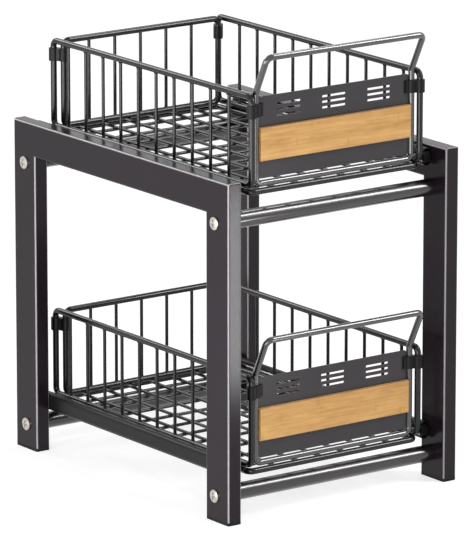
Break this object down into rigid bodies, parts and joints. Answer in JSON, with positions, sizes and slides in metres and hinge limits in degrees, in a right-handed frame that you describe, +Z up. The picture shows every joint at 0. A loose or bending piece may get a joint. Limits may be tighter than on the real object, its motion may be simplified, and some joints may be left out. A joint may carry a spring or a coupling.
{
  "type": "pull-out cabinet basket",
  "caption": "Tiered pull-out basket organiser: tube frame with wire baskets on ball-bearing slides, slotted fronts with a wooden strip and wire handles.",
  "frame": {"origin": "on the floor, in the middle of the whole unit", "axes": "+Z up, -Y to the front, where the drawers pull out, +X to the right as seen from the front"},
  "size_m": [0.27, 0.3486, 0.4343],
  "materials": {
    "tube_paint": "satin dark grey powder coat",
    "bar_paint": "satin dark grey powder coat",
    "wire_paint": "satin dark grey coat on wire",
    "plate_paint": "satin dark grey coat on sheet",
    "bracket_paint": "dark grey coat",
    "plug_steel": "plain turned steel",
    "bolt_nickel": "nickel plated",
    "foot_plastic": "black, moulded",
    "channel_black": "black coated steel channel",
    "slide_steel": "zinc plated",
    "cage_steel": "zinc plated",
    "ball_steel": "polished balls",
    "small_screw_steel": "zinc plated",
    "block_plastic": "black, moulded",
    "clip_plastic": "black, moulded",
    "bamboo": "satin bamboo with fine straight grain"
  },
  "bodies": {
    "frame": {"left_front_leg": "tube_paint", "right_front_leg": "tube_paint", "left_rear_leg": "tube_paint", "right_rear_leg": "tube_paint", "left_top_beam": "tube_paint", "right_top_beam": "tube_paint", "front_upper_crossbar": "bar_paint", "front_lower_crossbar": "bar_paint", "rear_upper_crossbar": "bar_paint", "rear_lower_crossbar": "bar_paint", "crossbar_plugs": "plug_steel", "frame_bolts": "bolt_nickel", "left_front_foot": "foot_plastic", "right_front_foot": "foot_plastic", "left_rear_foot": "foot_plastic", "right_rear_foot": "foot_plastic", "lower_left_outer_slide": "channel_black", "lower_right_outer_slide": "channel_black", "upper_left_outer_slide": "channel_black", "upper_right_outer_slide": "channel_black", "slide_screws": "small_screw_steel"},
    "lower_drawer": {"lower_left_inner_slide": "slide_steel", "lower_right_inner_slide": "slide_steel", "lower_left_end_block": "block_plastic", "lower_right_end_block": "block_plastic", "lower_slide_brackets": "bracket_paint", "lower_basket_base": "wire_paint", "lower_left_side_panel": "wire_paint", "lower_right_side_panel": "wire_paint", "lower_rear_panel": "wire_paint", "lower_front_loop": "wire_paint", "lower_front_plate": "plate_paint", "lower_bamboo_strip": "bamboo", "lower_strip_screws": "small_screw_steel", "lower_corner_clips": "clip_plastic"},
    "lower_left_cage": {"lower_left_ball_cage": "cage_steel", "lower_left_balls": "ball_steel"},
    "lower_right_cage": {"lower_right_ball_cage": "cage_steel", "lower_right_balls": "ball_steel"},
    "upper_drawer": {"upper_left_inner_slide": "slide_steel", "upper_right_inner_slide": "slide_steel", "upper_left_end_block": "block_plastic", "upper_right_end_block": "block_plastic", "upper_slide_brackets": "bracket_paint", "upper_basket_base": "wire_paint", "upper_left_side_panel": "wire_paint", "upper_right_side_panel": "wire_paint", "upper_rear_panel": "wire_paint", "upper_front_loop": "wire_paint", "upper_front_plate": "plate_paint", "upper_bamboo_strip": "bamboo", "upper_strip_screws": "small_screw_steel", "upper_corner_clips": "clip_plastic"},
    "upper_left_cage": {"upper_left_ball_cage": "cage_steel", "upper_left_balls": "ball_steel"},
    "upper_right_cage": {"upper_right_ball_cage": "cage_steel", "upper_right_balls": "ball_steel"}
  },
  "joints": [
    {"name": "lower_drawer_slide", "type": "slide", "parent": "frame", "child": "lower_drawer", "axis": [0, -1, 0], "range_m": [0, 0.2]},
    {"name": "lower_left_cage_slide", "type": "slide", "parent": "frame", "child": "lower_left_cage", "axis": [0, -1, 0], "range_m": [0, 0.1]},
    {"name": "lower_right_cage_slide", "type": "slide", "parent": "frame", "child": "lower_right_cage", "axis": [0, -1, 0], "range_m": [0, 0.1]},
    {"name": "upper_drawer_slide", "type": "slide", "parent": "frame", "child": "upper_drawer", "axis": [0, -1, 0], "range_m": [0, 0.2]},
    {"name": "upper_left_cage_slide", "type": "slide", "parent": "frame", "child": "upper_left_cage", "axis": [0, -1, 0], "range_m": [0, 0.1]},
    {"name": "upper_right_cage_slide", "type": "slide", "parent": "frame", "child": "upper_right_cage", "axis": [0, -1, 0], "range_m": [0, 0.1]}
  ],
  "couplings": [
    {"joint": "lower_left_cage_slide", "follows": "lower_drawer_slide", "ratio": 0.5},
    {"joint": "lower_right_cage_slide", "follows": "lower_drawer_slide", "ratio": 0.5},
    {"joint": "upper_left_cage_slide", "follows": "upper_drawer_slide", "ratio": 0.5},
    {"joint": "upper_right_cage_slide", "follows": "upper_drawer_slide", "ratio": 0.5}
  ]
}
